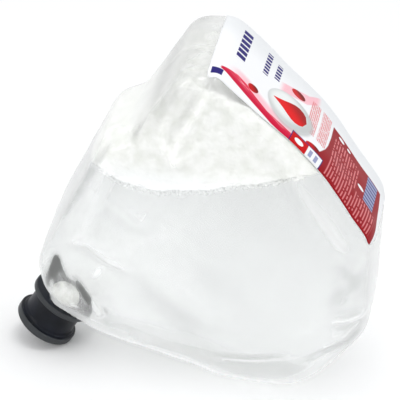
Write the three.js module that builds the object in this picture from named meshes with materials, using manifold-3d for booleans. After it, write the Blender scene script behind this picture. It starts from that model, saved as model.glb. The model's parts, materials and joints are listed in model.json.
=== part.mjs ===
// Hand soap refill pack: a soft clear blown bag lying on its belly, three quarters full of liquid soap
// with a head of foam, a paper label on its sloping side and a moulded black spout at its low corner.
// Millimetres, +Z up. X runs along the pack, Y through its depth, and the origin lies on the floor
// under the middle of the pack.
import * as THREE from "three";
import { mergeVertices } from "three/addons/utils/BufferGeometryUtils.js";
import Module from "manifold-3d";

const wasm = await Module();
wasm.setup();

// Side view of the bag at its mid-plane, as corners [x, z, corner radius], anticlockwise from the belly.
const BELLY_SINK = 1.6;
const BODY_CORNERS = [
  [17, -BELLY_SINK, 66],
  [48, -BELLY_SINK, 23],
  [69.3, 31, 28],
  [68, 72.5, 11.5],
  [44.2, 106, 85],
  [7.1, 138, 8.5],
  [-7.8, 136.5, 9.5],
  [-25.2, 107, 4],
  [-35.8, 101.5, 5],
  [-59.5, 46.5, 9],
];
const BODY_MIDDLE = new THREE.Vector2(2, 59);
const HALF_DEPTH = 28;
const PANEL_BULGE = 2.8;

// The ridge hangs lower at the front panel than at the back one.
const RIDGE_SAG = 4;
const SAG_START = 85;
const SAG_FULL = 138;

// The long edges between the side wall and the two flat panels: how far they cut in, and how square they are.
const TOP_EDGE_ROUND = 6.5;
const BELLY_EDGE_ROUND = 19;
const TOP_EDGE_SQUARENESS = 3.2;
const BELLY_EDGE_SQUARENESS = 2.3;
const BELLY_HEIGHT = 45;

// Spout: it leaves the low corner, and the rim of its outer flange touches the floor.
const SPOUT_TILT = THREE.MathUtils.degToRad(60);
const SPOUT_LENGTH = 15.7;
const SPOUT_END_X = -58.7;
const INNER_FLANGE_RADIUS = 12.5;
const INNER_FLANGE_THICKNESS = 1.9;
const WAIST_RADIUS = 10.2;
const OUTER_FLANGE_RADIUS = 12.2;
const OUTER_FLANGE_THICKNESS = 3.4;
const RIM_CHAMFER = 0.6;
const BORE_RADIUS = 5.2;
const SEAT_RADIUS = 6.4;
const SEAT_DEPTH = 1.3;
const SEAL_RADIUS = 6.1;
const SEAL_RISE = 4.6;
const SEAL_THICKNESS = 0.6;
const NECK_RADIUS = 10.8;
const NECK_REACH = 23;
const NECK_OVERRUN = 2.5;
const NECK_CORNER_ROUND = 3;

const FILM_THICKNESS = 0.6;
const GAP = 0.3;
const SOAP_LEVEL = 92;
const FOAM_TOP = 127;

const LABEL_HALF_WIDTH = 22.8;
const LABEL_THICKNESS = 0.3;
const LABEL_ROWS = 8;
const LABEL_TOP_X = 2.2;
const LABEL_BOTTOM_Z = 70;

const ARC_STEP = THREE.MathUtils.degToRad(20);
const EDGE_STEP = 11;
const LABEL_STEP = 4;
const ROUND_RINGS = 4;
const PANEL_RINGS = 3;
const ROUND_SIDES = 36;
const DOME_STEPS = 6;
const TOLERANCE = 1e-4;
const HOLE_CUTTER_LENGTH = 6;
const SLAB_WIDTH = 400;

const spoutAxis = new THREE.Vector2(-Math.cos(SPOUT_TILT), -Math.sin(SPOUT_TILT));
const spoutAcross = new THREE.Vector2(-spoutAxis.y, spoutAxis.x);
const spoutEnd = new THREE.Vector2(SPOUT_END_X, (OUTER_FLANGE_RADIUS - RIM_CHAMFER) * Math.cos(SPOUT_TILT));
const neckFace = spoutEnd.clone().addScaledVector(spoutAxis, -(SPOUT_LENGTH + GAP));

// Points along a closed outline whose corners are rounded by true arcs.
function roundedOutline(corners, edgeStep) {
  const outline = [];
  corners.forEach(([x, z, radius], i) => {
    const corner = new THREE.Vector2(x, z);
    const before = new THREE.Vector2(...corners.at(i - 1)).sub(corner).normalize();
    const after = new THREE.Vector2(...corners[(i + 1) % corners.length]).sub(corner).normalize();
    const halfAngle = Math.acos(before.dot(after)) / 2;
    const middle = before.clone().add(after).normalize();
    const centre = corner.clone().addScaledVector(middle, radius / Math.sin(halfAngle));
    const reach = radius / Math.tan(halfAngle);
    const start = corner.clone().addScaledVector(before, reach).sub(centre).angle();
    const end = corner.clone().addScaledVector(after, reach).sub(centre).angle();
    const arc = new THREE.Path().absarc(centre.x, centre.y, radius, start, end, before.cross(after) > 0);
    const turn = Math.PI - 2 * halfAngle;
    outline.push(...arc.getPoints(Math.max(1, Math.ceil(turn / ARC_STEP))));
  });
  return outline.flatMap((point, i) => {
    const next = outline[(i + 1) % outline.length];
    const steps = Math.ceil(point.distanceTo(next) / edgeStep);
    return Array.from({ length: steps }, (_, k) => point.clone().lerp(next, k / steps));
  });
}

// How far the long edge cuts in at a point of the outline, as a fraction of the way to the middle.
function edgeFraction(point) {
  const rise = THREE.MathUtils.smoothstep(point.y, 0, BELLY_HEIGHT);
  return THREE.MathUtils.lerp(BELLY_EDGE_ROUND, TOP_EDGE_ROUND, rise) / BODY_MIDDLE.distanceTo(point);
}

// A point on the way from the side wall (turn 0) round the long edge to the flat panel (turn 1).
function edgePoint(point, turn) {
  const rise = THREE.MathUtils.smoothstep(point.y, 0, BELLY_HEIGHT);
  const power = 2 / THREE.MathUtils.lerp(BELLY_EDGE_SQUARENESS, TOP_EDGE_SQUARENESS, rise);
  const angle = (turn * Math.PI) / 2;
  const inward = 1 - Math.max(0, Math.cos(angle)) ** power;
  return bodyPoint(point, edgeFraction(point) * inward, Math.sin(angle) ** power);
}

// A point moved a fraction of its way to the middle of the bag, at a fraction of the full depth there:
// the panels bulge at their middle, the depth narrows to the round neck, and the belly lies flat.
function bodyPoint(point, fraction, depth) {
  const moved = point.clone().lerp(BODY_MIDDLE, fraction);
  const bulge = PANEL_BULGE * (1 - (1 - fraction) ** 2);
  const above = Math.max(0, -moved.clone().sub(neckFace).dot(spoutAxis));
  const spread = Math.sqrt(1 - (1 - Math.min(1, above / NECK_REACH)) ** 2);
  const narrow = THREE.MathUtils.lerp(NECK_RADIUS / HALF_DEPTH, 1, spread);
  const beyond = Math.max(0, moved.clone().sub(neckFace).dot(spoutAxis));
  moved.addScaledVector(spoutAxis, -beyond);
  const y = depth * narrow * (HALF_DEPTH - PANEL_BULGE + bulge);
  return new THREE.Vector3(moved.x, y, Math.max(0, moved.y));
}

function sagged(point) {
  const share = (1 - point.y / HALF_DEPTH) / 2;
  const drop = RIDGE_SAG * THREE.MathUtils.smoothstep(point.z, SAG_START, SAG_FULL) * share;
  return new THREE.Vector3(point.x, point.y, point.z - drop);
}

// A closed surface from rings of points, closed at its two ends by a fan round a middle point.
function closedLoft(rings, firstMiddle, lastMiddle) {
  const count = rings[0].length;
  const points = [...rings.flat(), firstMiddle, lastMiddle];
  const index = [];
  for (let r = 0; r + 1 < rings.length; r += 1) {
    for (let i = 0; i < count; i += 1) {
      const next = (i + 1) % count;
      const [a, b] = [r * count + i, r * count + next];
      index.push(a, b + count, b, a, a + count, b + count);
    }
  }
  const last = (rings.length - 1) * count;
  for (let i = 0; i < count; i += 1) {
    const next = (i + 1) % count;
    index.push(points.length - 2, i, next, points.length - 1, last + next, last + i);
  }
  const geometry = new THREE.BufferGeometry().setFromPoints(points);
  geometry.setIndex(index);
  geometry.computeVertexNormals();
  return geometry;
}

// The whole bag, grown or shrunk by moving each point along its own normal.
function bagSurface(growth) {
  const corners = [
    ...BODY_CORNERS,
    ...[-1, 1].map((side) => {
      const corner = neckFace.clone().addScaledVector(spoutAxis, NECK_OVERRUN);
      corner.addScaledVector(spoutAcross, side * NECK_RADIUS);
      return [corner.x, corner.y, NECK_CORNER_ROUND];
    }),
  ];
  const outline = roundedOutline(corners, EDGE_STEP);
  const half = [];
  for (let k = 0; k <= ROUND_RINGS; k += 1) {
    half.push(outline.map((point) => edgePoint(point, k / ROUND_RINGS)));
  }
  for (let k = 1; k < PANEL_RINGS; k += 1) {
    half.push(outline.map((point) => {
      const fraction = THREE.MathUtils.lerp(edgeFraction(point), 1, k / PANEL_RINGS);
      return bodyPoint(point, fraction, 1);
    }));
  }
  const front = half.slice(1).reverse().map((ring) => ring.map((p) => new THREE.Vector3(p.x, -p.y, p.z)));
  const middle = new THREE.Vector3(BODY_MIDDLE.x, HALF_DEPTH, BODY_MIDDLE.y);
  const rings = [...front, ...half].map((ring) => ring.map(sagged));
  const geometry = closedLoft(rings, new THREE.Vector3(middle.x, -middle.y, middle.z), middle);
  const position = geometry.attributes.position;
  const normal = geometry.attributes.normal;
  for (let i = 0; i < position.count; i += 1) {
    const point = new THREE.Vector3().fromBufferAttribute(position, i);
    point.addScaledVector(new THREE.Vector3().fromBufferAttribute(normal, i), growth);
    position.setXYZ(i, point.x, point.y, point.z);
  }
  return geometry;
}

function toSolid(geometry) {
  const bare = geometry.clone();
  bare.deleteAttribute("normal");
  bare.deleteAttribute("uv");
  const merged = mergeVertices(bare, TOLERANCE);
  return new wasm.Manifold(new wasm.Mesh({
    numProp: 3,
    vertProperties: new Float32Array(merged.attributes.position.array),
    triVerts: new Uint32Array(merged.index.array),
  }));
}

function toGeometry(solid) {
  const mesh = solid.getMesh();
  const geometry = new THREE.BufferGeometry();
  geometry.setAttribute("position", new THREE.BufferAttribute(mesh.vertProperties, 3));
  geometry.setIndex(new THREE.BufferAttribute(mesh.triVerts, 1));
  geometry.computeVertexNormals();
  return geometry;
}

// Turns a shape made along +Z, with its top at zero, so that it hangs from the neck along the spout.
function placeOnSpout(geometry, distance) {
  geometry.rotateY(Math.PI / 2 - SPOUT_TILT);
  const start = neckFace.clone().addScaledVector(spoutAxis, distance);
  return geometry.translate(start.x, 0, start.y);
}

const group = new THREE.Group();

function addPart(name, geometry, finish) {
  const mesh = new THREE.Mesh(geometry, new THREE.MeshStandardMaterial(finish));
  mesh.name = name;
  group.add(mesh);
}

function slab(bottom, top) {
  const box = new THREE.BoxGeometry(SLAB_WIDTH, SLAB_WIDTH, top - bottom);
  return toSolid(box.translate(0, 0, (bottom + top) / 2));
}

// A profile of [radius, height] points turned about +Z.
function turned(profile) {
  const points = profile.map(([radius, height]) => new THREE.Vector2(radius, height));
  return new THREE.LatheGeometry(points, ROUND_SIDES).rotateX(Math.PI / 2);
}

// Bag: one thin blown skin, open only at the round hole in its neck face.
const holeCutter = new THREE.CylinderGeometry(SEAT_RADIUS, SEAT_RADIUS, HOLE_CUTTER_LENGTH, ROUND_SIDES);
const neckHole = toSolid(placeOnSpout(holeCutter.rotateX(Math.PI / 2), 0));
const bagSolid = toSolid(bagSurface(0)).subtract(toSolid(bagSurface(-FILM_THICKNESS))).subtract(neckHole);
addPart("clear_bag", toGeometry(bagSolid), { color: "#e9edee", roughness: 0.15, metalness: 0 });

// Seal: a thin white skin over the bag end of the bore, domed into the soap, its hem in the spout's seat.
const SEAL_HEM = GAP - SEAT_DEPTH;

function domeProfile(radius, rise) {
  const dome = Array.from({ length: DOME_STEPS + 1 }, (_, k) => {
    const angle = (k / DOME_STEPS) * Math.PI / 2;
    return [radius * Math.sin(angle), rise * Math.cos(angle)];
  });
  return [...dome, [radius, SEAL_HEM]];
}
const sealInside = domeProfile(SEAL_RADIUS - SEAL_THICKNESS, SEAL_RISE - SEAL_THICKNESS);
const sealOutside = domeProfile(SEAL_RADIUS, SEAL_RISE);
const sealGeometry = placeOnSpout(turned([...sealInside, ...sealOutside.reverse()]), GAP);
addPart("spout_seal", sealGeometry, { color: "#f1f0ea", roughness: 0.5, metalness: 0 });

// Contents: liquid soap up to its level, clear of the seal, and the foam that stands on it.
const contents = toSolid(bagSurface(-FILM_THICKNESS - GAP));
const roomProfile = [[0, SEAL_HEM], ...domeProfile(SEAL_RADIUS + GAP, SEAL_RISE + GAP).reverse()];
const sealRoom = toSolid(placeOnSpout(turned(roomProfile), GAP));
const soapSolid = contents.intersect(slab(0, SOAP_LEVEL)).subtract(sealRoom);
addPart("liquid_soap", toGeometry(soapSolid), { color: "#e3e7e6", roughness: 0.05, metalness: 0 });
const foamSolid = contents.intersect(slab(SOAP_LEVEL + GAP, FOAM_TOP));
addPart("soap_foam", toGeometry(foamSolid), { color: "#f4f3ea", roughness: 0.6, metalness: 0 });

// Label: a paper sheet wrapped over the ridge and down the sloping side, clear of the long edges.
function labelPoint(point, y) {
  let [low, high] = [0, 1];
  while (high - low > TOLERANCE) {
    const turn = (low + high) / 2;
    if (edgePoint(point, turn).y < Math.abs(y)) low = turn;
    else high = turn;
  }
  const found = edgePoint(point, low);
  return sagged(new THREE.Vector3(found.x, y, found.z));
}

function labelGeometry() {
  const outline = roundedOutline(BODY_CORNERS, LABEL_STEP);
  const down = outline.filter((p) => p.x > LABEL_TOP_X && p.y > LABEL_BOTTOM_Z);
  const across = Array.from({ length: LABEL_ROWS + 1 }, (_, k) => {
    return LABEL_HALF_WIDTH * ((2 * k) / LABEL_ROWS - 1);
  });
  const count = down.length;
  const points = across.flatMap((y) => down.map((p) => labelPoint(p, y)));
  const sheet = new THREE.BufferGeometry().setFromPoints(points);
  const index = [];
  for (let r = 0; r < LABEL_ROWS; r += 1) {
    for (let i = 0; i + 1 < count; i += 1) {
      const a = r * count + i;
      index.push(a, a + 1, a + count + 1, a, a + count + 1, a + count);
    }
  }
  sheet.setIndex(index);
  sheet.computeVertexNormals();
  const lifted = (height) => points.map((point, i) => {
    const normal = new THREE.Vector3().fromBufferAttribute(sheet.attributes.normal, i);
    return point.clone().addScaledVector(normal, height);
  });
  const total = points.length;
  const sides = [...lifted(-GAP), ...lifted(-GAP - LABEL_THICKNESS)];
  const solid = new THREE.BufferGeometry().setFromPoints(sides);
  const border = [
    ...Array.from({ length: count - 1 }, (_, i) => i),
    ...Array.from({ length: LABEL_ROWS }, (_, r) => r * count + count - 1),
    ...Array.from({ length: count - 1 }, (_, i) => total - 1 - i),
    ...Array.from({ length: LABEL_ROWS }, (_, r) => (LABEL_ROWS - r) * count),
  ];
  const faces = [...index];
  for (let k = 0; k < index.length; k += 3) {
    faces.push(index[k] + total, index[k + 2] + total, index[k + 1] + total);
  }
  border.forEach((a, k) => {
    const b = border[(k + 1) % border.length];
    faces.push(a, a + total, b + total, a, b + total, b);
  });
  solid.setIndex(faces);
  return solid;
}
addPart("label", toGeometry(toSolid(labelGeometry())), { color: "#b3243a", roughness: 0.45, metalness: 0 });

// Spout: a moulded spool with a through bore, a seat for its seal, and two flanges.
const outerStart = -SPOUT_LENGTH + OUTER_FLANGE_THICKNESS;
const spoutGeometry = placeOnSpout(turned([
  [SEAT_RADIUS, 0],
  [SEAT_RADIUS, -SEAT_DEPTH],
  [BORE_RADIUS, -SEAT_DEPTH],
  [BORE_RADIUS, -SPOUT_LENGTH],
  [OUTER_FLANGE_RADIUS - RIM_CHAMFER, -SPOUT_LENGTH],
  [OUTER_FLANGE_RADIUS, -SPOUT_LENGTH + RIM_CHAMFER],
  [OUTER_FLANGE_RADIUS, outerStart - RIM_CHAMFER],
  [OUTER_FLANGE_RADIUS - RIM_CHAMFER, outerStart],
  [WAIST_RADIUS, outerStart],
  [WAIST_RADIUS, -INNER_FLANGE_THICKNESS],
  [INNER_FLANGE_RADIUS - RIM_CHAMFER, -INNER_FLANGE_THICKNESS],
  [INNER_FLANGE_RADIUS, -INNER_FLANGE_THICKNESS + RIM_CHAMFER],
  [INNER_FLANGE_RADIUS, 0],
  [SEAT_RADIUS, 0],
]), GAP);
addPart("spout", toGeometry(toSolid(spoutGeometry)), { color: "#23272b", roughness: 0.4, metalness: 0 });

export default group;
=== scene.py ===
import json
import math

import bmesh
import bpy
import numpy as np
from mathutils import Matrix, Vector, noise
from mathutils.bvhtree import BVHTree


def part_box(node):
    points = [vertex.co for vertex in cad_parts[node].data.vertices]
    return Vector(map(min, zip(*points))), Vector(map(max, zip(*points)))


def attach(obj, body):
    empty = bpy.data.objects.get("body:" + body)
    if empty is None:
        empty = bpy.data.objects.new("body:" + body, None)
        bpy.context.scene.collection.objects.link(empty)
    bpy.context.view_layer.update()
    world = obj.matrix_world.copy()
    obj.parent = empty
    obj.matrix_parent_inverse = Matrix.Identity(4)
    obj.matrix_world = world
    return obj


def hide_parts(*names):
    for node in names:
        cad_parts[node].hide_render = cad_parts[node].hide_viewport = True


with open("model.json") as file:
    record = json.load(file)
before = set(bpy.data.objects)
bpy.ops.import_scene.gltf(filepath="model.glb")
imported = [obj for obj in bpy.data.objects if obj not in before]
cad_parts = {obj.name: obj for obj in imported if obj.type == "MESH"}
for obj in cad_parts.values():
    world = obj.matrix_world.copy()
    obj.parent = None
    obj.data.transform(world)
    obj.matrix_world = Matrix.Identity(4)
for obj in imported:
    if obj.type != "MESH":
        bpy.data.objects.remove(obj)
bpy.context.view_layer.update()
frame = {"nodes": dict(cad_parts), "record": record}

# Camera: a long lens a little to the right of the front panel, looking down at the pack, turned
# slightly about its own line of sight.
AZIMUTH = math.radians(7.7)
ELEVATION = math.radians(29)
ROLL = math.radians(3)
CAMERA_DISTANCE = 0.95
LENS = 227.7
SENSOR_WIDTH = 36
FAR_CLIP = 20
CAMERA_TARGET = Vector((0, 0, 0.0684))

look_back = Vector((
    math.sin(AZIMUTH) * math.cos(ELEVATION),
    -math.cos(AZIMUTH) * math.cos(ELEVATION),
    math.sin(ELEVATION),
))
level_right = Vector((math.cos(AZIMUTH), math.sin(AZIMUTH), 0))
camera_right = Matrix.Rotation(ROLL, 3, look_back) @ level_right
camera_up = look_back.cross(camera_right)
camera_data = bpy.data.cameras.new("camera")
camera_data.lens = LENS
camera_data.sensor_width = SENSOR_WIDTH
camera_data.clip_end = FAR_CLIP
camera = bpy.data.objects.new("camera", camera_data)
camera.matrix_world = Matrix((
    (*camera_right, 0), (*camera_up, 0), (*look_back, 0), (0, 0, 0, 1),
)).transposed()
camera.location = CAMERA_TARGET + look_back * CAMERA_DISTANCE
bpy.context.scene.collection.objects.link(camera)
bpy.context.scene.camera = camera


# Studio: a pale floor in an almost white surround, a little darker in front of the pack, with one
# large soft light overhead and a smaller one on the left.
SURROUND_STRENGTH = 0.94
FRONT_SHADE = (0.90, 0.90, 0.905)
REAR_SHADE = (1.0, 1.0, 1.0)
OVERHEAD_SHADE = (0.95, 0.96, 0.97)
FLOOR_REACH = 3.0
FLOOR_SHADE = (0.93, 0.93, 0.93, 1)
LIGHT_AIM = Vector((0, 0, 0.07))


class Shade:
    """A number or vector on a shader socket, with arithmetic that adds Math nodes."""

    def __init__(self, finish, socket):
        self.finish = finish
        self.socket = socket

    def math(self, operation, *others):
        return self.finish.value("ShaderNodeMath", {"operation": operation}, [self, *others])

    def __add__(self, other):
        return self.math("ADD", other)

    def __sub__(self, other):
        return self.math("SUBTRACT", other)

    def __mul__(self, other):
        return self.math("MULTIPLY", other)

    def __truediv__(self, other):
        return self.math("DIVIDE", other)

    def __rsub__(self, other):
        return self.finish.value("ShaderNodeMath", {"operation": "SUBTRACT"}, [other, self])

    __radd__ = __add__
    __rmul__ = __mul__

    def step(self, low, high):
        """0 below low, 1 above high, and smooth between them."""
        ranged = {"interpolation_type": "SMOOTHSTEP"}
        ends = {"Value": self, "From Min": low, "From Max": high}
        return self.finish.value("ShaderNodeMapRange", ranged, ends)


class Finish:
    """A material, or the world, whose nodes are added one call at a time."""

    def __init__(self, owner):
        owner.use_nodes = True
        self.owner = owner
        self.tree = owner.node_tree
        self.tree.nodes.clear()

    def node(self, kind, settings=None, inputs=None):
        made = self.tree.nodes.new(kind)
        for name, setting in (settings or {}).items():
            if name == "stops":
                ramp = made.color_ramp
                while len(ramp.elements) < len(setting):
                    ramp.elements.new(0.5)
                for element, (place, colour) in zip(ramp.elements, setting):
                    element.position = place
                    element.color = (*colour, 1)
            else:
                setattr(made, name, setting)
        entries = inputs.items() if isinstance(inputs, dict) else enumerate(inputs or [])
        for key, entry in entries:
            if isinstance(entry, Shade):
                self.tree.links.new(entry.socket, made.inputs[key])
            else:
                made.inputs[key].default_value = entry
        return made

    def value(self, kind, settings=None, inputs=None, output=0):
        return Shade(self, self.node(kind, settings, inputs).outputs[output])

    def mix(self, factor, first, second):
        colours = [(*c, 1) if isinstance(c, tuple) else c for c in (first, second)]
        settings = {"data_type": "RGBA"}
        mixed = self.node("ShaderNodeMix", settings, {"Factor": factor, 6: colours[0], 7: colours[1]})
        return Shade(self, mixed.outputs[2])

    def finish(self, surface):
        self.node("ShaderNodeOutputMaterial", {}, {"Surface": surface})
        return self.owner


def new_finish(name):
    return Finish(bpy.data.materials.new(name))


world = bpy.data.worlds.new("surround")
bpy.context.scene.world = world
surround = Finish(world)
direction = surround.value("ShaderNodeTexCoord", {}, {}, "Generated")
parts = surround.node("ShaderNodeSeparateXYZ", {}, [direction])
rear = Shade(surround, parts.outputs["Y"]).step(-0.9, 0.5)
above = Shade(surround, parts.outputs["Z"]).step(-0.2, 0.8)
brightness = surround.mix(above, surround.mix(rear, FRONT_SHADE, REAR_SHADE), OVERHEAD_SHADE)
background = surround.value("ShaderNodeBackground", {}, {"Color": brightness, "Strength": SURROUND_STRENGTH})
surround.node("ShaderNodeOutputWorld", {}, {"Surface": background})
bpy.context.scene.view_settings.view_transform = "Standard"

floor_mesh = bmesh.new()
bmesh.ops.create_grid(floor_mesh, x_segments=2, y_segments=2, size=FLOOR_REACH)
floor_data = bpy.data.meshes.new("floor")
floor_mesh.to_mesh(floor_data)
floor_mesh.free()
floor = bpy.data.objects.new("floor", floor_data)
floor_finish = new_finish("floor")
floor_surface = floor_finish.value("ShaderNodeBsdfDiffuse", {}, {"Color": FLOOR_SHADE})
floor_data.materials.append(floor_finish.finish(floor_surface))
bpy.context.scene.collection.objects.link(floor)


def soft_light(name, place, size, power):
    light = bpy.data.lights.new(name, "AREA")
    light.shape = "RECTANGLE"
    light.size, light.size_y = size
    light.energy = power
    made = bpy.data.objects.new(name, light)
    made.location = place
    made.rotation_euler = (LIGHT_AIM - Vector(place)).to_track_quat("-Z", "Y").to_euler()
    bpy.context.scene.collection.objects.link(made)


soft_light("overhead_light", (0.1, -0.15, 1.1), (0.5, 0.4), 2.6)
soft_light("left_light", (-0.55, -0.8, 0.55), (0.2, 0.5), 1.2)


# Clear bag: one soft skin of blown film about a quarter of a millimetre thick. It hangs in folds
# from its ridge, is drawn in round the spout, and creases where the panels meet the side walls.
MM = 0.001
FILM_THICKNESS = 0.25 * MM
SKIN_CELL = 1.4 * MM
SKIN_SOFTENING = 5
HOLE_RADIUS = 6.5 * MM
FRONT_FACING = -0.55
NECK_FACE = 16.0 * MM
NECK_TAPER = 19 * MM
NECK_REACH = 18 * MM
NECK_FADE = 9 * MM
NECK_PULL = 0.42
NECK_SHRINK = 0.06
NECK_LEAST = 7.2 * MM
WELD_OVERLAP = 0.1 * MM
WELD_TRIM = 0.5 * MM

spout_mount = next(m for m in frame["record"]["mounts"] if m["name"] == "spout_face")
spout_axis = Vector(spout_mount["axis"]).normalized()
spout_end = Vector((spout_mount["pos_m"][0], 0, spout_mount["pos_m"][2]))


def merged_copy(node):
    copy = bmesh.new()
    copy.from_mesh(frame["nodes"][node].data)
    bmesh.ops.remove_doubles(copy, verts=copy.verts, dist=0.002 * MM)
    return copy


def on_spout_axis(point):
    """The nearest point of the spout's axis."""
    return spout_end + spout_axis * (point - spout_end).dot(spout_axis)


def largest_island(mesh):
    """Keeps the piece of the mesh with the widest box."""
    left = set(mesh.verts)
    islands = []
    while left:
        reached = [left.pop()]
        for vert in reached:
            linked = {edge.other_vert(vert) for edge in vert.link_edges} & left
            left -= linked
            reached.extend(linked)
        islands.append(reached)
    islands.sort(key=lambda verts: max(v.co.x for v in verts) - min(v.co.x for v in verts))
    for verts in islands[:-1]:
        bmesh.ops.delete(mesh, geom=verts, context="VERTS")


def soften(mesh, verts, times):
    for _ in range(times):
        bmesh.ops.smooth_vert(
            mesh, verts=verts, factor=0.5, use_axis_x=True, use_axis_y=True, use_axis_z=True,
        )


def new_piece(name, mesh, finishes, node):
    """Makes a bmesh into a smooth-shaded piece that stands for a CAD node."""
    data = bpy.data.meshes.new(name)
    mesh.to_mesh(data)
    mesh.free()
    data.shade_smooth()
    for finish in finishes:
        data.materials.append(finish)
    piece = bpy.data.objects.new(name, data)
    bpy.context.scene.collection.objects.link(piece)
    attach(piece, "root")
    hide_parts(node)
    return piece


skin = merged_copy("clear_bag")
bore_walls = [
    face for face in skin.faces
    if all((v.co - on_spout_axis(v.co)).length < HOLE_RADIUS for v in face.verts)
]
bmesh.ops.delete(skin, geom=bore_walls, context="FACES")
largest_island(skin)
bmesh.ops.holes_fill(skin, edges=[e for e in skin.edges if e.is_boundary])
bmesh.ops.recalc_face_normals(skin, faces=skin.faces)
rough_data = bpy.data.meshes.new("rough_skin")
skin.to_mesh(rough_data)
skin.free()
rough = bpy.data.objects.new("rough_skin", rough_data)
bpy.context.scene.collection.objects.link(rough)
remesh = rough.modifiers.new("even_cells", "REMESH")
remesh.mode = "VOXEL"
remesh.voxel_size = SKIN_CELL
even_data = bpy.data.meshes.new_from_object(rough.evaluated_get(bpy.context.evaluated_depsgraph_get()))
bpy.data.objects.remove(rough)
skin = bmesh.new()
skin.from_mesh(even_data)
largest_island(skin)
soften(skin, skin.verts, SKIN_SOFTENING)
skin.normal_update()
front_faces = [face for face in skin.faces if face.normal.y < FRONT_FACING]
front_edges = list({edge for face in front_faces for edge in face.edges})
bmesh.ops.subdivide_edges(skin, edges=front_edges, cuts=1, use_grid_fill=True, smooth=0.4)

# Folds of the flat panels: [x, z] points of each one's line in millimetres, then its half width and
# its height, which is negative for a valley.
# This scale turns fold heights into painted shade in the valleys and painted highlight on the crests of the
# film.
FOLD_SHADE_AND_HIGHLIGHT = 1.1
PANEL_FOLDS = [
    ([(6, 131), (4, 125.5), (0.3, 116.5), (-4.7, 107), (-6.5, 97)], 1.6, 0.9),
    ([(3.5, 131), (0.5, 124), (-3.5, 115), (-8, 106)], 2.2, -0.8),
    ([(7, 131), (9.6, 125.7), (12.7, 121.3), (19, 114)], 1.6, 0.8),
    ([(-9.8, 116.5), (-11, 109.5), (-10.7, 102.2), (-5, 96.8), (2.7, 104.8)], 1.6, 0.6),
    ([(-15.7, 127.3), (-17.3, 122.4), (-18.9, 116.5), (-20.6, 111.1), (-22.5, 104)], 1.5, -1.0),
    ([(-29.2, 105.9), (-35.5, 92.8), (-40.7, 80.9), (-47.9, 68.2)], 1.5, -0.9),
    ([(-31, 91.4), (-36.1, 76.1), (-42.1, 60.5)], 2.4, 1.0),
    ([(-27, 88), (-31, 76), (-35, 62)], 2.4, -0.6),
    ([(-44, 57.2), (-38.3, 56.7), (-30.6, 51.3), (-22.9, 48.1)], 1.6, -1.1),
    ([(-44, 60), (-37, 59.5), (-29, 54), (-20, 50.5)], 2.2, 0.7),
    ([(-17.2, 46.7), (-9.4, 39.1), (0.5, 31.6), (8.1, 28.5)], 6.0, -1.2),
    ([(-10, 60), (-4, 48), (5, 38)], 9.0, 0.9),
    ([(-28.7, 51.6), (-21.5, 60.3), (-8.6, 67.2), (-5.2, 74)], 3.2, 0.5),
    ([(33.7, 101.9), (43.7, 86.8), (53.8, 73.6), (57.7, 69.9)], 2.4, 0.8),
    ([(30, 100), (40, 84), (50, 70)], 3.0, -0.5),
    ([(62, 54.9), (55.8, 62.6)], 2.2, -0.8),
    ([(62, 54.9), (53.4, 45.1)], 2.4, -0.8),
    ([(62, 54.9), (65.3, 61)], 2.2, -0.7),
    ([(62, 54.9), (58.9, 45.9)], 2.2, 0.5),
    ([(53.5, 38.1), (61, 40), (68.9, 43.3)], 1.4, 0.9),
    ([(53, 36), (61, 37.5), (68.5, 40.5)], 1.4, -0.7),
    ([(47.2, 20.4), (61.7, 29.2), (67.7, 38.8)], 1.8, -1.1),
    ([(44, 17), (59, 26), (67, 34)], 1.8, 0.6),
    ([(52, 60), (52.5, 50), (51, 40)], 2.4, 0.35),
    ([(11.8, 17.7), (26, 19), (40.1, 21.9)], 1.1, -0.45),
    ([(12, 14.2), (26, 15.3), (40.3, 18.3)], 1.1, -0.35),
    ([(14, 16), (26, 17.2), (40, 20)], 1.1, 0.35),
]
# Short folds across the ridge: [x, y] ends in millimetres, then half width and height.
RIDGE_FOLDS = [
    ((-7, -24.5), (6, -24.5), 0.9, 0.5),
    ((-8, -21.5), (5, -22), 0.9, -0.5),
    ((-7, -19), (3, -19.5), 0.9, 0.45),
    ((-6, -16), (4, -17), 1.0, -0.45),
    ((-15, -3), (6, -6), 1.1, 0.7),
    ((-15, -5), (6, -8.5), 1.1, -0.5),
    ((-16, 9), (4, 12), 1.6, 0.5),
    ((-14, 19), (3, 16), 1.3, -0.5),
]
RIDGE_SHARE = 0.45
BACK_SHIFT = (2.5, -4.0)
BACK_WIDENING = 1.3
# Height in millimetres and number to the millimetre of the waves between the folds.
BROAD_WAVE = (0.7, 0.035)
SMALL_WAVE = (0.25, 0.09)
SMALL_WAVE_SHIFT = Vector((7, 0, 0))
FACING_START = 0.15
FACING_RUN = 0.4
RIDGE_START = 112
RIDGE_RUN = 6
FLOOR_FADE = 6


def fold_height(across, up, line, half_width, height):
    """The lift of one fold, in millimetres, at points of the plane that its line lies in."""
    nearest = np.full(len(across), 1e9)
    place = np.zeros(len(across))
    count = len(line) - 1
    for i, ((x0, z0), (x1, z1)) in enumerate(zip(line, line[1:])):
        run = np.array([x1 - x0, z1 - z0])
        share = np.clip(((across - x0) * run[0] + (up - z0) * run[1]) / run.dot(run), 0, 1)
        away = np.hypot(across - x0 - share * run[0], up - z0 - share * run[1])
        closer = away < nearest
        nearest[closer] = away[closer]
        place[closer] = ((i + share) / count)[closer]
    fade = np.sqrt(np.clip(np.sin(np.pi * (0.06 + 0.88 * place)), 0, 1))
    return height * fade * np.exp(-((nearest / half_width) ** 2))


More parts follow.
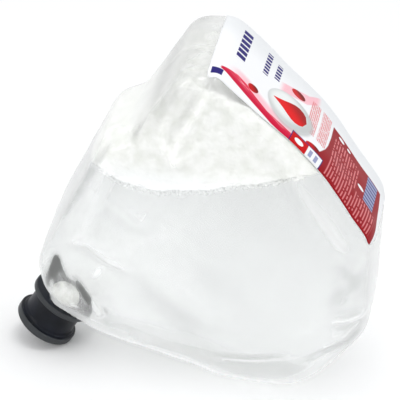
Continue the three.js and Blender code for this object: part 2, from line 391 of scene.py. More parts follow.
skin.normal_update()
points = np.array([v.co for v in skin.verts]) / MM
normals = np.array([v.normal for v in skin.verts])
front = np.clip((-normals[:, 1] - FACING_START) / FACING_RUN, 0, 1)
back = np.clip((normals[:, 1] - FACING_START) / FACING_RUN, 0, 1)
ridge = np.clip((normals[:, 2] - FACING_START) / FACING_RUN, 0, 1)
ridge = ridge * np.clip((points[:, 2] - RIDGE_START) / RIDGE_RUN, 0, 1)
panels = (points[:, 0], points[:, 2])
lift = np.zeros(len(points))
for line, half_width, height in PANEL_FOLDS:
    lift += front * fold_height(*panels, line, half_width, height)
    moved = [(x + BACK_SHIFT[0], z + BACK_SHIFT[1]) for x, z in line]
    lift += back * fold_height(*panels, moved, half_width * BACK_WIDENING, height)
for start, end, half_width, height in RIDGE_FOLDS:
    lift += ridge * fold_height(points[:, 0], points[:, 1], [start, end], half_width, height * RIDGE_SHARE)
# Broad soft painted shade and painted light on the panels, laid into the film's veil: the same lists.
PANEL_PAINTED_SHADE_AND_LIGHT = [
    ([(-60, 91), (-32, 91), (-28, 88.5), (-15, 85.5), (3.5, 88.6), (18, 92.6), (30.5, 95)], 1.4, 1.0),
    ([(-28, 92), (-15, 89), (3.5, 92), (18, 96), (30, 98)], 3.5, 0.6),
    ([(0, 70), (10, 60), (20, 45)], 14.0, -0.25),
    ([(-28, 66), (-24, 58)], 9.0, 0.5),
    ([(2, 52), (-4, 62), (-5, 73)], 5.5, 0.35),
    ([(36, 98), (58, 68)], 5.0, 0.8),
    ([(48, 86), (60, 66)], 6.0, 0.4),
    ([(60, 55), (66, 48)], 7.0, -0.7),
    ([(54, 62), (54, 40)], 3.0, -0.4),
    ([(57, 18), (66, 34)], 4.5, -1.1),
    ([(20, 12), (50, 14)], 5.0, 0.1),
    ([(-30, 38), (-10, 24)], 7.0, 0.5),
    ([(-47, 66), (-52, 52)], 5.0, -0.5),
    ([(-6, 128), (-16, 110)], 4.5, -1.0),
    ([(-19, 116), (-24, 102)], 3.5, -0.7),
    ([(-36.5, 93), (-41.5, 82), (-49, 66)], 0.8, -1.0),
    ([(-34, 90), (-38.5, 80), (-45, 65)], 0.8, 0.8),
    ([(-31, 88), (-36, 76), (-42, 62)], 0.9, -0.5),
    ([(-3, 138), (-9, 131), (-13, 125), (-16, 118)], 3.6, -1.2),
    ([(-1, 136), (-6, 128), (-9, 121)], 1.0, -0.5),
    ([(-6, 136), (-11, 127), (-15, 118)], 0.9, 0.6),
    ([(4, 137), (-1, 130), (-5, 123)], 0.9, -0.6),
    ([(7, 137), (3, 130), (0, 124)], 0.9, 0.5),
    ([(-27, 108), (-34, 96), (-40, 84)], 3.0, -0.2),
    ([(-24, 114), (-33, 103)], 5.0, -0.5),
]
# The same lists for the front panel alone: painted shade where the flange shows dark in the creases round the
# neck, and a few painted highlights.
FRONT_PAINTED_SHADE_AND_HIGHLIGHTS = [
    ([(-49.4, 51), (-52.5, 43), (-55.1, 36.5)], 1.7, -3.2),
    ([(-49.4, 51), (-50, 44), (-49.8, 38)], 1.7, -3.2),
    ([(-49.2, 51), (-46.5, 44), (-44, 38.5)], 1.6, -3.2),
    ([(-42, 43), (-38.5, 37), (-37, 28)], 1.8, -4.5),
    ([(-40, 35), (-37.5, 31)], 0.9, 3.6),
    ([(-44, 29.6), (-40.5, 29.3)], 0.6, 2.4),
    ([(-36.4, 36.5), (-36, 32.5)], 0.9, -2.6),
    ([(-32.2, 49.4), (-35.1, 45.1)], 1.2, 2.6),
    ([(-18.1, 71.4), (-15.7, 76.7)], 1.1, 1.5),
]
# Painted shade and painted highlight for the film's veil: from the folds, then from the two lists below.
painted_shading = lift * FOLD_SHADE_AND_HIGHLIGHT
for line, half_width, height in FRONT_PAINTED_SHADE_AND_HIGHLIGHTS:
    painted_shading += front * fold_height(*panels, line, half_width, height)
for line, half_width, height in PANEL_PAINTED_SHADE_AND_LIGHT:
    painted_shading += np.maximum.reduce([front, back, ridge]) * fold_height(*panels, line, half_width, height)
# The fold attribute carries this painted shade and highlight to the film's finish.
painted_shading_layer = skin.verts.layers.float.new("fold")
pull_side = Vector((0, 1, 0)).cross(spout_axis)
for i, vert in enumerate(skin.verts):
    here = Vector(points[i])
    vert[painted_shading_layer] = float(painted_shading[i])
    wave = noise.noise(here * BROAD_WAVE[1]) * BROAD_WAVE[0]
    wave += noise.noise(here * SMALL_WAVE[1] + SMALL_WAVE_SHIFT) * SMALL_WAVE[0]
    above_floor = min(1.0, points[i, 2] / FLOOR_FADE)
    vert.co += vert.normal * float(lift[i] + wave) * above_floor * MM
    vert.co.z = max(vert.co.z, 0.0)
    centre = on_spout_axis(vert.co)
    beyond = (spout_end - centre).dot(spout_axis) - NECK_FACE
    spoke = vert.co - centre
    outside = max(0, (spoke.length - NECK_REACH) / NECK_FADE)
    pull = math.exp(-(max(0, beyond / NECK_TAPER) ** 3) - outside ** 2)
    drawn = spoke * (1 - NECK_SHRINK * pull) - pull_side * max(0, spoke.dot(pull_side)) * NECK_PULL * pull
    if NECK_LEAST > drawn.length > 0:
        drawn *= min(spoke.length, NECK_LEAST) / drawn.length
    vert.co = centre + drawn
skin_keep = skin.copy()
skin_tree = BVHTree.FromBMesh(skin_keep)

# The film ends where it is welded to the flange.
weld_line = [
    v for v in skin.verts
    if (spout_end - on_spout_axis(v.co)).dot(spout_axis) < NECK_FACE + WELD_TRIM
    and (v.co - spout_end).length < 2 * NECK_FACE
]
bmesh.ops.delete(skin, geom=weld_line, context="VERTS")
for vert in [v for v in skin.verts if v.is_boundary]:
    vert.co -= spout_axis * ((vert.co - spout_end).dot(spout_axis) + NECK_FACE - WELD_OVERLAP)

# Haze shares of the film's veil. The fold and crease shares follow the painted shade and highlight of the
# fold attribute, and the darker veil colour is painted shade.
FILM_HAZE = 0.12
CLOUD_HAZE = 0.08
PAINTED_SHADING_HAZE = 0.09
CREASE_PAINTED_SHADE_HAZE = 0.4
SLANT_HAZE = 0.45
FILM_SHEEN = 0.03
SLANT_SHEEN = 0.4
PAINTED_SHADE_VEIL = (0.25, 0.255, 0.25)
WHITE_VEIL = (1.0, 1.0, 1.0)


def own_place(finish):
    """The piece's own coordinates, in metres."""
    return finish.value("ShaderNodeTexCoord", {}, {}, "Object")


def grain(finish, scale, detail):
    """Noise from 0 to 1 over the piece."""
    inputs = {"Vector": own_place(finish), "Scale": scale, "Detail": detail}
    return finish.value("ShaderNodeTexNoise", {}, inputs, "Fac")


def bumps(finish, height, strength, depth):
    return finish.value("ShaderNodeBump", {}, {"Height": height, "Strength": strength, "Distance": depth})


film = new_finish("clear_film")
film_fine = grain(film, 240.0, 1.5)
film_soft = grain(film, 60.0, 3.0)
film_bump = bumps(film, film_fine * 0.12 + film_soft, 0.25, 0.9 * MM)
film_painted_shading = film.value("ShaderNodeAttribute", {"attribute_name": "fold"}, {}, "Fac")
film_clear = film.value("ShaderNodeBsdfTransparent", {}, {"Color": (0.985, 0.987, 0.986, 1)})


def veil(colour):
    """Milky film that scatters light to both of its sides."""
    lit = film.value("ShaderNodeBsdfDiffuse", {}, {"Color": (*colour, 1), "Normal": film_bump})
    through = film.value("ShaderNodeBsdfTranslucent", {}, {"Color": (*colour, 1), "Normal": film_bump})
    return film.value("ShaderNodeMixShader", {}, [0.5, lit, through])


# Painted shade: the veil turns dark grey where the fold attribute is low, and stays white where it is high.
film_veil = film.value(
    "ShaderNodeMixShader", {}, [film_painted_shading.step(-4.2, 1.6), veil(PAINTED_SHADE_VEIL), veil(WHITE_VEIL)],
)
film_slant = film.value("ShaderNodeLayerWeight", {}, {"Blend": 0.5}, "Facing")
film_haze = film_slant.math("POWER", 2) * SLANT_HAZE + film_soft * CLOUD_HAZE + FILM_HAZE
# More veil where the fold attribute is far from zero, most in its darkest creases: painted shade and painted
# highlight.
film_haze = film_haze + film_painted_shading.math("ABSOLUTE") * PAINTED_SHADING_HAZE + (0 - film_painted_shading).step(2.2, 3.6) * CREASE_PAINTED_SHADE_HAZE
film_body = film.value("ShaderNodeMixShader", {}, [film_haze, film_clear, film_veil])
film_gloss = film.value("ShaderNodeBsdfGlossy", {}, {
    "Color": (1, 1, 1, 1), "Roughness": 0.12, "Normal": film_bump,
})
film_sheen = film_slant.math("POWER", 4) * SLANT_SHEEN + FILM_SHEEN
film_surface = film.value("ShaderNodeMixShader", {}, [film_sheen, film_body, film_gloss])
bag = new_piece("clear_bag_film", skin, [film.finish(film_surface)], "clear_bag")
bag.visible_shadow = False
wall = bag.modifiers.new("film_thickness", "SOLIDIFY")
wall.thickness = FILM_THICKNESS
wall.offset = -1


# Liquid soap: it fills the bag to its level and takes the shape of the film all round, a little
# softer than the film's own creases. Foam hangs into it at the front panel.
LIQUID_INSET = 0.75 * MM
FOAM_INSET = 0.40 * MM
CONTENTS_SOFTENING = 5
NECK_DEPTH = 17.2 * MM
NECK_WINDOW = (-0.044, 0, 0.032)
NECK_WINDOW_INNER = 13 * MM
NECK_WINDOW_OUTER = 21 * MM
LIQUID_CLOUD = 0.16
LID_EDGE = 6 * MM
LID_CUTS = 7
FLANGE_CONTACT = 1.6 * MM
# Where the foam starts and ends at the front panel, as [x, z] points in millimetres.
FOAM_LINE = [
    (-60, 92), (-32, 91.5), (-28, 88.5), (-15, 85.3), (3.5, 88.4),
    (18, 92.4), (30.5, 94.5), (39, 98.5), (60, 99),
]
FOAM_CREST = [(-60, 122), (-20, 124), (-10, 126.5), (3, 126.5), (14, 123), (30, 118), (60, 112)]

# The front panel's lines count in full from this depth forward, and less towards the back, where
# the surface is level. Ripples have a number to the metre and a height in millimetres.
LINE_START = 12
LINE_RUN = 34
RIPPLES = ((160, 0.8), (420, 0.5))


def level_offset(x, y, line, level):
    """How far the contents' surface stands above its level, in metres: full at the front panel."""
    share = min(1.0, max(0.0, (LINE_START - y / MM) / LINE_RUN))
    height = np.interp(x / MM, [p[0] for p in line], [p[1] for p in line]) * MM - level
    ripple = sum(noise.noise(Vector((x, y, level)) * pitch) * size for pitch, size in RIPPLES)
    return height * share + ripple * MM


def inside_bag(inset, cuts):
    """The space inside the film on one side of each cut, as a closed mesh."""
    room = skin_keep.copy()
    room.normal_update()
    moves = [(vert, vert.normal.copy()) for vert in room.verts]
    for vert, normal in moves:
        vert.co -= normal * inset
    soften(room, room.verts, CONTENTS_SOFTENING)
    for level, line, up in cuts:
        for vert in room.verts:
            vert.co.z -= level_offset(vert.co.x, vert.co.y, line, level)
        cut = bmesh.ops.bisect_plane(
            room, geom=room.verts[:] + room.edges[:] + room.faces[:],
            plane_co=(0, 0, level), plane_no=(0, 0, up), clear_outer=True,
        )
        rim = [part for part in cut["geom_cut"] if isinstance(part, bmesh.types.BMEdge)]
        lid = bmesh.ops.holes_fill(room, edges=rim)["faces"]
        lid = bmesh.ops.triangulate(room, faces=lid)["faces"]
        inner = list({edge for face in lid for edge in face.edges if edge not in rim})
        long_edges = [edge for edge in inner if edge.calc_length() > LID_EDGE]
        bmesh.ops.subdivide_edges(room, edges=long_edges, cuts=LID_CUTS)
        for vert in room.verts:
            vert.co.z += level_offset(vert.co.x, vert.co.y, line, level)
    bmesh.ops.triangulate(room, faces=[f for f in room.faces if len(f.verts) > 4])
    return room


liquid_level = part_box("liquid_soap")[1].z
foam_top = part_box("soap_foam")[1].z
liquid = inside_bag(LIQUID_INSET, [(liquid_level, FOAM_LINE, 1)])
for vert in liquid.verts:
    if (vert.co - spout_end).dot(spout_axis) > -NECK_DEPTH:
        vert.co += spout_axis * FLANGE_CONTACT
liquid_finish = new_finish("liquid_soap")
liquid_clear = liquid_finish.value("ShaderNodeBsdfPrincipled", {}, {
    "Base Color": (0.965, 0.973, 0.970, 1), "Roughness": 0.0, "IOR": 1.34, "Transmission Weight": 1.0,
})
liquid_cloud = liquid_finish.value("ShaderNodeBsdfTranslucent", {}, {"Color": (0.86, 0.87, 0.87, 1)})
liquid_body = liquid_finish.value("ShaderNodeMixShader", {}, [LIQUID_CLOUD, liquid_clear, liquid_cloud])
flat_place = liquid_finish.value(
    "ShaderNodeVectorMath", {"operation": "MULTIPLY"}, [own_place(liquid_finish), (1, 0, 1)],
)
neck_away = liquid_finish.value(
    "ShaderNodeVectorMath", {"operation": "DISTANCE"}, [flat_place, NECK_WINDOW], "Value",
)
neck_clear = neck_away.step(NECK_WINDOW_INNER, NECK_WINDOW_OUTER)
liquid_thin = liquid_finish.value("ShaderNodeBsdfTransparent", {}, {"Color": (0.97, 0.975, 0.97, 1)})
liquid_surface = liquid_finish.value("ShaderNodeMixShader", {}, [neck_clear, liquid_thin, liquid_body])
liquid_finishes = [liquid_finish.finish(liquid_surface)]
soap = new_piece("liquid_soap_body", liquid, liquid_finishes, "liquid_soap")
soap.visible_shadow = False


# Foam: white froth of fine bubbles that floats on the soap, clings to the film above it, and ends
# in a row of larger bubbles along its lower edge.
FOAM_HANG = 0.9
froth_line = [(x, z - FOAM_HANG) for x, z in FOAM_LINE]
froth = inside_bag(FOAM_INSET, [(liquid_level, froth_line, -1), (foam_top, FOAM_CREST, 1)])
BUBBLE_COUNT = 420
BUBBLE_REACH = (-33, 41)
BUBBLE_RADII = (0.25, 0.9)
BUBBLE_HEIGHTS = (-2.6, 0.8)
BUBBLE_SEED = 7
FRONT_DEPTH = -26 * MM
IN_FRONT = -60 * MM
bubble_dice = np.random.default_rng(BUBBLE_SEED)
bubbles = bmesh.new()
for _ in range(BUBBLE_COUNT):
    x = bubble_dice.uniform(*BUBBLE_REACH) * MM
    radius = bubble_dice.uniform(*BUBBLE_RADII) * MM
    line_height = liquid_level + level_offset(x, FRONT_DEPTH, FOAM_LINE, liquid_level)
    z = line_height + bubble_dice.uniform(*BUBBLE_HEIGHTS) * MM
    hit = skin_tree.ray_cast(Vector((x, IN_FRONT, z)), Vector((0, 1, 0)))[0]
    if hit is None:
        continue
    place = Matrix.Translation(hit + Vector((0, radius + FOAM_INSET + 0.1 * MM, 0)))
    bmesh.ops.create_uvsphere(bubbles, u_segments=8, v_segments=5, radius=radius, matrix=place)
bubble_data = bpy.data.meshes.new("bubbles")
bubbles.to_mesh(bubble_data)
bubbles.free()
froth.from_mesh(bubble_data)
foam_finish = new_finish("soap_foam")
foam_place = own_place(foam_finish)


def bubble_cells(scale):
    return foam_finish.value("ShaderNodeTexVoronoi", {}, {"Vector": foam_place, "Scale": scale}, "Distance")


froth_bump = bumps(foam_finish, bubble_cells(620.0) + bubble_cells(210.0) * 0.8, 0.5, 0.5 * MM)
patches = grain(foam_finish, 230.0, 3.0)
foam_parts = foam_finish.node("ShaderNodeSeparateXYZ", {}, [foam_place])
foam_height = Shade(foam_finish, foam_parts.outputs["Z"])
froth_colour = foam_finish.mix(patches.step(0.32, 0.62), (0.87, 0.88, 0.83), (0.99, 0.99, 0.965))
froth_colour = foam_finish.mix(foam_height.step(87 * MM, 98 * MM), (0.99, 1.0, 1.0), froth_colour)
froth_surface = foam_finish.value("ShaderNodeBsdfPrincipled", {}, {
    "Base Color": froth_colour, "Roughness": 0.5, "Normal": froth_bump,
})
new_piece("soap_foam_head", froth, [foam_finish.finish(froth_surface)], "soap_foam")


# Label: a thin varnished sheet stuck over the ridge and down the sloping side. Its print is a white
# field with a crimson sweep, an oval badge with a plain drop, and a deep red field of short dashes.
LABEL_THICKNESS = 0.15 * MM
LABEL_LIFT = 0.12 * MM
LABEL_CORNER = 2.5
LABEL_CENTRE = Vector((18 * MM, 0, 78 * MM))
LABEL_GRID = (60, 120)
LABEL_STEP = 4
OFF_SKIN = 12 * MM
OUTLINE_ANGLES = (125, -25, -0.5)
UV_SPAN = 100.0

label_low, label_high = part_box("label")
label_width = (label_high.y - label_low.y) / MM


def skin_outline(y):
    """Points of the skin in the label's stretch at one depth, from the ridge to the label's foot."""
    found = []
    for angle in np.radians(np.arange(*OUTLINE_ANGLES)):
        out = Vector((math.cos(angle), 0, math.sin(angle)))
        hit = skin_tree.ray_cast(LABEL_CENTRE + Vector((0, y, 0)), out)[0]
        if hit is not None and hit.x > label_low.x and hit.z > label_low.z:
            found.append(np.array(hit) / MM)
    return np.array(found)


middle_line = skin_outline(0.0)
run_along = np.concatenate([[0], np.cumsum(np.linalg.norm(np.diff(middle_line, axis=0), axis=1))])
label_length = run_along[-1]
label = bmesh.new()
bmesh.ops.create_grid(label, x_segments=LABEL_GRID[0], y_segments=LABEL_GRID[1], size=0.5)
label_uv = label.loops.layers.uv.new("label_mm")
flat = {}
for vert in label.verts:
    across = (vert.co.x + 0.5) * label_width
    along = (vert.co.y + 0.5) * label_length
    corner_x = min(max(across, LABEL_CORNER), label_width - LABEL_CORNER)
    corner_y = min(max(along, LABEL_CORNER), label_length - LABEL_CORNER)
    out = Vector((across - corner_x, along - corner_y))
    if out.x and out.y:
        out = out.normalized() * max(abs(out.x), abs(out.y))
    flat[vert.index] = (corner_x + out.x, corner_y + out.y)
for face in label.faces:
    for loop in face.loops:
        loop[label_uv].uv = [place / UV_SPAN for place in flat[loop.vert.index]]


def on_middle(along):
    return Vector([np.interp(along, run_along, middle_line[:, k]) for k in range(3)])


for vert in label.verts:
    across, along = flat[vert.index]
    middle = on_middle(along) * MM
    before, after = [on_middle(along + step) for step in (-LABEL_STEP, LABEL_STEP)]
    outward = Vector((before.z - after.z, 0, after.x - before.x)).normalized()
    start = middle + Vector((0, across * MM + label_low.y, 0)) + outward * OFF_SKIN
    hit, normal, _, _ = skin_tree.ray_cast(start, -outward)
    if hit is None:
        hit, normal, _, _ = skin_tree.find_nearest(start)
    vert.co = hit + normal * (LABEL_THICKNESS + LABEL_LIFT)
soften(label, [v for v in label.verts if not v.is_boundary], 2)
bmesh.ops.recalc_face_normals(label, faces=label.faces)
if sum(face.normal.x + face.normal.z for face in label.faces) < 0:
    bmesh.ops.reverse_faces(label, faces=label.faces)


def display(red, green, blue):
    """A colour as a screen shows it, 0 to 255, as the linear colour that a shader takes."""
    return tuple((c / 255) ** 2.2 for c in (red, green, blue))


PAPER = display(240, 241, 243)
PAPER_PAINTED_SHADE = display(228, 230, 232)
NAVY = display(45, 38, 112)
CRIMSON = display(200, 22, 62)
PINK = display(244, 178, 190)
BERRY = display(196, 14, 22)
DEEP_RED = display(148, 18, 30)
DASH_PINK = display(222, 130, 134)
BADGE = display(232, 235, 234)
BADGE_SHADOW = display(176, 180, 180)
BAR_BLUE = display(150, 156, 190)
DROP_RED = display(222, 6, 16)
DROP_SHADE = display(158, 4, 12)
BERRY_SHADE = display(120, 6, 12)
SWEEP_LIGHT = display(226, 66, 92)
BADGE_LOW = display(214, 218, 217)

print_finish = new_finish("label_print")
map_place = print_finish.value("ShaderNodeUVMap", {"uv_map": "label_mm"})
map_parts = print_finish.node("ShaderNodeSeparateXYZ", {}, [map_place])
across = Shade(print_finish, map_parts.outputs["X"]) * UV_SPAN
along = Shade(print_finish, map_parts.outputs["Y"]) * UV_SPAN


def band(value, low, high, soft=0.12):
    return value.step(low - soft, low + soft) * (1 - value.step(high - soft, high + soft))


def block(low_across, high_across, low_along, high_along, soft=0.12):
    return band(across, low_across, high_across, soft) * band(along, low_along, high_along, soft)


def oval(middle_across, middle_along, reach_across, reach_along, soft=0.06):
    away = ((across - middle_across) / reach_across).math("POWER", 2)
    away = away + ((along - middle_along) / reach_along).math("POWER", 2)
    return 1 - away.step(1 - soft, 1 + soft)


def curve(value, stops, top):
    """A line through [value, result] stops, both in millimetres."""
    ramp = [(place / UV_SPAN, (result / top,) * 3) for place, result in stops]
    line = print_finish.value("ShaderNodeValToRGB", {"stops": ramp}, [value / UV_SPAN])
    return line * top


def dashes(pitch, share, length, seed):
    """Rows of short dashes of uneven length, as a mask."""
    row = (along / pitch).math("FLOOR")
    line = band((along / pitch).math("FRACT"), 0.5 - share / 2, 0.5 + share / 2, 0.08)
    spot = print_finish.value("ShaderNodeCombineXYZ", {}, [(across / length).math("FLOOR"), row, seed])
    settings = {"noise_dimensions": "3D"}
    chance = print_finish.value("ShaderNodeTexWhiteNoise", settings, {"Vector": spot}, "Value")
    return line * chance.step(0.16, 0.18)


def printed(mask, colour):
    """The print so far with one more colour where the mask says."""
    return print_finish.mix(mask, ink, colour)


# White field, and the crimson sweep and pink ribbon that cross it.
# The paper greys towards its far side, across 24 to 38 mm: painted shade where that side turns away from the
# light.
ink = print_finish.mix(across.step(24, 38), PAPER, PAPER_PAINTED_SHADE)
sweep_left = curve(along, [
    (0, 6.4), (4, 5.6), (11, 3.9), (18, 2.6), (24, 1.6), (31, 0.4), (36, 0), (100, 0),
], 50)
sweep_right = curve(along, [
    (0, 6.4), (4, 6.6), (12, 8.2), (17, 7.4), (21, 5.6), (28, 3.5), (38, 3.0), (48, 2.8), (100, 0),
], 50)
past_left = (across - sweep_left).step(-0.2, 0.2)
sweep = past_left * (1 - (across - sweep_right).step(-0.2, 0.2)) * along.step(4, 5)
halo = past_left * (1 - (across - sweep_right - 3.2).step(-1.6, 1.2)) * along.step(6, 16)
ink = printed(halo * (1 - along.step(40, 46)) * 0.8, PINK)
streak = print_finish.value("ShaderNodeCombineXYZ", {}, [(across - sweep_left) * 2.2, along * 0.16, 0.0])
streaks = print_finish.value("ShaderNodeTexNoise", {}, {"Vector": streak, "Scale": 1.0, "Detail": 3.0}, "Fac")
sweep_tone = print_finish.mix((across - sweep_left).step(0.5, 5), CRIMSON, SWEEP_LIGHT)
streak_share = streaks.step(0.52, 0.68) * (across - sweep_left).step(1.5, 3.5)
ink = printed(sweep, print_finish.mix(streak_share, sweep_tone, PINK))
ribbon_middle = curve(along, [(0, 20), (30, 24), (42, 30), (48, 38), (100, 38)], 50)
ribbon = band(across - ribbon_middle, -3.5, 3.2, 0.5) * band(along, 30, 47, 1.5)
ink = printed(ribbon * 0.85, PINK)
for low, high in ((44, 48.6), (50, 55)):
    ink = printed(block(11, 33, low, high) * (0.25 + dashes(0.8, 0.5, 0.45, low) * 0.75), DASH_PINK)

# Oval badge with its drop, and the berries round it.
ink = printed(oval(13.2, 36.8, 9.6, 11, 0.16) * 0.7, BADGE_SHADOW)
badge_rim = 1 - oval(14.6, 35.2, 7.2, 8.6, 0.45)
badge_tone = print_finish.mix(along.step(32, 45), BADGE, BADGE_LOW)
ink = printed(oval(13.8, 36, 9, 10.5), print_finish.mix(badge_rim * 0.6, badge_tone, BADGE_SHADOW))
drop_half = curve(along, [
    (0, 0), (27.6, 0), (30, 1.0), (32.5, 2.2), (35, 3.7), (37.5, 4.9), (39.5, 5.2), (41.5, 4.7), (43, 3.5),
    (44.2, 0), (100, 0),
], 50)
drop = 1 - ((across - 14.2).math("ABSOLUTE") - drop_half).step(-0.15, 0.15)
drop_tone = print_finish.mix((along * 0.6 + across).step(34, 42), DROP_RED, DROP_SHADE)
ink = printed(drop * band(along, 28, 44.2), drop_tone)
for spot in ((8.3, 19.5, 1.8, 2.4), (28, 37.5, 2.4, 3.3), (5.5, 51, 2.0, 4.5)):
    berry_side = along - spot[1] + (across - spot[0])
    ink = printed(oval(*spot), print_finish.mix(berry_side.step(-1.5, 2.5), BERRY, BERRY_SHADE))

# Deep red field with its rows of dashes, and the bars in its corner.
field_top = curve(across, [
    (0, 52.5), (6.5, 53), (9, 54.2), (12, 55.4), (16, 56.2), (22, 56.5), (100, 56.5),
], 100)
field_end = along + across * 0.12 - label_length
field = (along - field_top).step(-0.2, 0.2) * (1 - across.step(31.3, 31.6)) * (1 - field_end.step(-1.0, -0.7))
ink = printed(field, DEEP_RED)
rows = block(1, 27, 58.5, 75) + block(1, 12.4, 75.5, 89)
ink = printed(field * rows * dashes(1.5, 0.42, 0.9, 3.0) * 0.85, DASH_PINK)
for spot in ((29.5, 62, 0.9, 1.8), (29.5, 67, 0.7, 1.2), (18, 77.5, 1.0, 2.0)):
    ink = printed(oval(*spot), PAPER)
bars = block(13.6, 31, 80, 86.6)
ink = printed(bars, BAR_BLUE)
ink = printed(bars * band((across / 2.3).math("FRACT"), 0.3, 0.62), NAVY)

# Small box at the edge, the mark at the corner and the bars in the white field.
ink = printed(block(-1, 5.2, 40, 56.4), NAVY)
ink = printed(block(-1, 4.8, 40.4, 48.4), BERRY)
ink = printed(block(-1, 4.8, 48.4, 56), PAPER)
ink = printed(block(0.8, 3.8, 49.6, 51.2) + block(0.8, 3.8, 52.6, 54.2), BAR_BLUE)
ink = printed(oval(2.4, 44.2, 1.1, 2.2), PAPER)
ink = printed(block(2, 5, 1.2, 6.2), NAVY)
word_bars = block(17, 38, 8.2, 12.4) * band((across / 3.5).math("FRACT"), 0.12, 0.86, 0.03)
line_bars = block(22, 38, 20.5, 23) * band((across / 2.3).math("FRACT"), 0.14, 0.84, 0.04)
line_bars = line_bars + block(25, 36, 25.8, 28.3) * band((across / 2.2).math("FRACT"), 0.14, 0.84, 0.04)
ink = printed(word_bars + line_bars, NAVY)
print_grain = grain(print_finish, 90.0, 3.0)
print_surface = print_finish.value("ShaderNodeBsdfPrincipled", {}, {
    "Base Color": ink, "Roughness": print_grain * 0.15 + 0.35, "Specular IOR Level": 0.15,
    "Normal": bumps(print_finish, print_grain, 0.25, 0.5 * MM),
})
paper_finish = new_finish("label_back")
fibres = grain(paper_finish, 400.0, 4.0)
paper_colour = paper_finish.mix(fibres, display(232, 233, 233), display(244, 245, 245))
paper_surface = paper_finish.value("ShaderNodeBsdfPrincipled", {}, {
    "Base Color": paper_colour, "Roughness": 0.6,
})
label_finishes = [print_finish.finish(print_surface), paper_finish.finish(paper_surface)]
sheet = new_piece("paper_label", label, label_finishes, "label")
backing = sheet.modifiers.new("paper_thickness", "SOLIDIFY")
backing.thickness = LABEL_THICKNESS
backing.offset = -1
backing.material_offset = 1
backing.material_offset_rim = 1


# Spout: a spool moulded in black plastic, with a flange that the film is welded to, a stepped waist
# and a thicker outer flange with a through bore.
SPOUT_LENGTH = 15.7
# [radius, height] corners from the film's side of the flange, down the bore and back up the outside.
SPOUT_PROFILE = [
    (6.4, 0), (6.4, -1.3), (5.2, -1.3), (5.2, -15.0), (5.9, -15.7),
    (8.2, -15.7), (8.6, -15.2), (10.4, -15.2), (10.8, -15.7),
    (11.6, -15.7), (12.2, -15.1), (12.2, -12.3), (11.0, -12.3), (11.0, -11.5), (10.2, -11.0),
    (10.2, -1.9), (12.5, -1.9), (12.5, 0),
]
EDGE_BEVEL = 0.3 * MM
SHARP_EDGE = math.radians(35)
SPOUT_SIDES = 96
# Radii of the outer flange's rim, in metres, that are painted lighter grey: a painted sheen where it would
# catch the light.
RIM_PAINTED_SHEEN = (11.7 * MM, 12.15 * MM)


def turned(profile, sides):
    """A closed [radius, height] profile in millimetres, spun about +Z."""
    mesh = bmesh.new()
    corners = [mesh.verts.new((radius * MM, 0, height * MM)) for radius, height in profile]
    edges = [mesh.edges.new(pair) for pair in zip(corners, corners[1:] + corners[:1])]
    bmesh.ops.spin(
        mesh, geom=corners + edges, cent=(0, 0, 0), axis=(0, 0, 1),
        angle=2 * math.pi, steps=sides, use_merge=True,
    )
    bmesh.ops.remove_doubles(mesh, verts=mesh.verts, dist=0.005 * MM)
    bmesh.ops.recalc_face_normals(mesh, faces=mesh.faces)
    return mesh


def set_on_spout(mesh, distance):
    """Puts a shape made along +Z on the spout's axis, its zero so far behind the end face."""
    turn = (-spout_axis).to_track_quat("Z", "Y").to_matrix().to_4x4()
    move = Matrix.Translation(spout_end - spout_axis * distance)
    bmesh.ops.transform(mesh, matrix=move @ turn, verts=mesh.verts)


spool = turned(SPOUT_PROFILE, SPOUT_SIDES)
sharp = [e for e in spool.edges if len(e.link_faces) == 2 and e.calc_face_angle() > SHARP_EDGE]
bmesh.ops.bevel(spool, geom=sharp, offset=EDGE_BEVEL, segments=3, profile=0.5, affect="EDGES", material=-1)
set_on_spout(spool, SPOUT_LENGTH * MM)
black = new_finish("spout_plastic")
black_cloud = grain(black, 90.0, 4.0)
black_bump = bumps(black, grain(black, 900.0, 3.0) + black_cloud, 0.2, 0.15 * MM)
black_colour = black.mix(black_cloud.step(0.35, 0.7), display(12, 15, 22), display(26, 29, 38))
from_end = black.value("ShaderNodeVectorMath", {"operation": "SUBTRACT"}, [own_place(black), spout_end])
from_axis = black.value("ShaderNodeVectorMath", {"operation": "CROSS_PRODUCT"}, [from_end, spout_axis])
radius = black.value("ShaderNodeVectorMath", {"operation": "LENGTH"}, [from_axis], "Value")
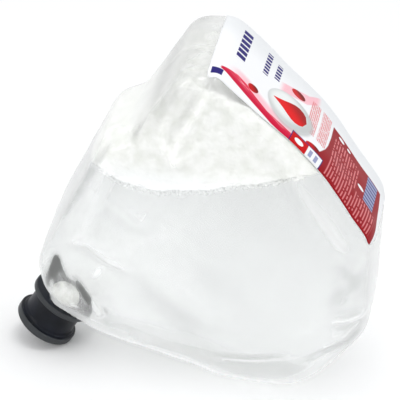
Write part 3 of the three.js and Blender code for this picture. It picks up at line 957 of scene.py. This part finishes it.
# Painted sheen: a lighter grey on the rim of the outer flange.
black_colour = black.mix(radius.step(*RIM_PAINTED_SHEEN) * 0.8, black_colour, display(66, 68, 70))
black_surface = black.value("ShaderNodeBsdfPrincipled", {}, {
    "Base Color": black_colour, "Roughness": black_cloud * 0.2 + 0.25, "Specular IOR Level": 0.2,
    "Normal": black_bump,
})
new_piece("black_spout", spool, [black.finish(black_surface)], "spout")


# Seal: a thin white skin over the bag end of the bore, domed into the soap. It is drawn tight, so it
# puckers in from its rim.
SEAL_RADIUS = 6.1
SEAL_RISE = 4.6
SEAL_THICKNESS = 0.6
SEAL_HEM = -1.0
SEAL_SIDES = 88
PUCKERS = 11
PUCKER_DEPTH = 0.4
WRINKLE_DEPTH = 0.6
WRINKLE_PITCH = 420
SEAL_DROP = 0.1
arc = [math.radians(angle) for angle in range(0, 91, 6)]
seal_profile = [(SEAL_RADIUS * math.sin(a), SEAL_RISE * math.cos(a)) for a in arc]
inner_reach = (SEAL_RADIUS - SEAL_THICKNESS, SEAL_RISE - SEAL_THICKNESS)
inner_profile = [(inner_reach[0] * math.sin(a), inner_reach[1] * math.cos(a)) for a in reversed(arc)]
cap = turned([*seal_profile, (SEAL_RADIUS, SEAL_HEM), (inner_reach[0], SEAL_HEM), *inner_profile], SEAL_SIDES)
for vert in cap.verts:
    turn = math.atan2(vert.co.y, vert.co.x)
    reach = math.hypot(vert.co.x, vert.co.y) / (SEAL_RADIUS * MM)
    drift = 3 * noise.noise(Vector((turn, reach * 2, 3)))
    pucker = math.cos(turn * PUCKERS + drift) * reach ** 2 * (1 - reach) * 4
    wrinkle = noise.noise(vert.co * WRINKLE_PITCH) * (1 - reach)
    if vert.co.z > 0:
        vert.co.z += (pucker * PUCKER_DEPTH + wrinkle * WRINKLE_DEPTH - SEAL_DROP) * MM
set_on_spout(cap, SPOUT_LENGTH * MM)
white = new_finish("seal_film")
white_grain = grain(white, 500.0, 4.0)
white_bump = bumps(white, white_grain, 0.4, 0.4 * MM)
white_colour = white.mix(white_grain.step(0.35, 0.65), display(238, 238, 230), display(252, 252, 248))
white_surface = white.value("ShaderNodeBsdfPrincipled", {}, {
    "Base Color": white_colour, "Roughness": 0.45, "Normal": white_bump,
})
new_piece("white_spout_seal", cap, [white.finish(white_surface)], "spout_seal")
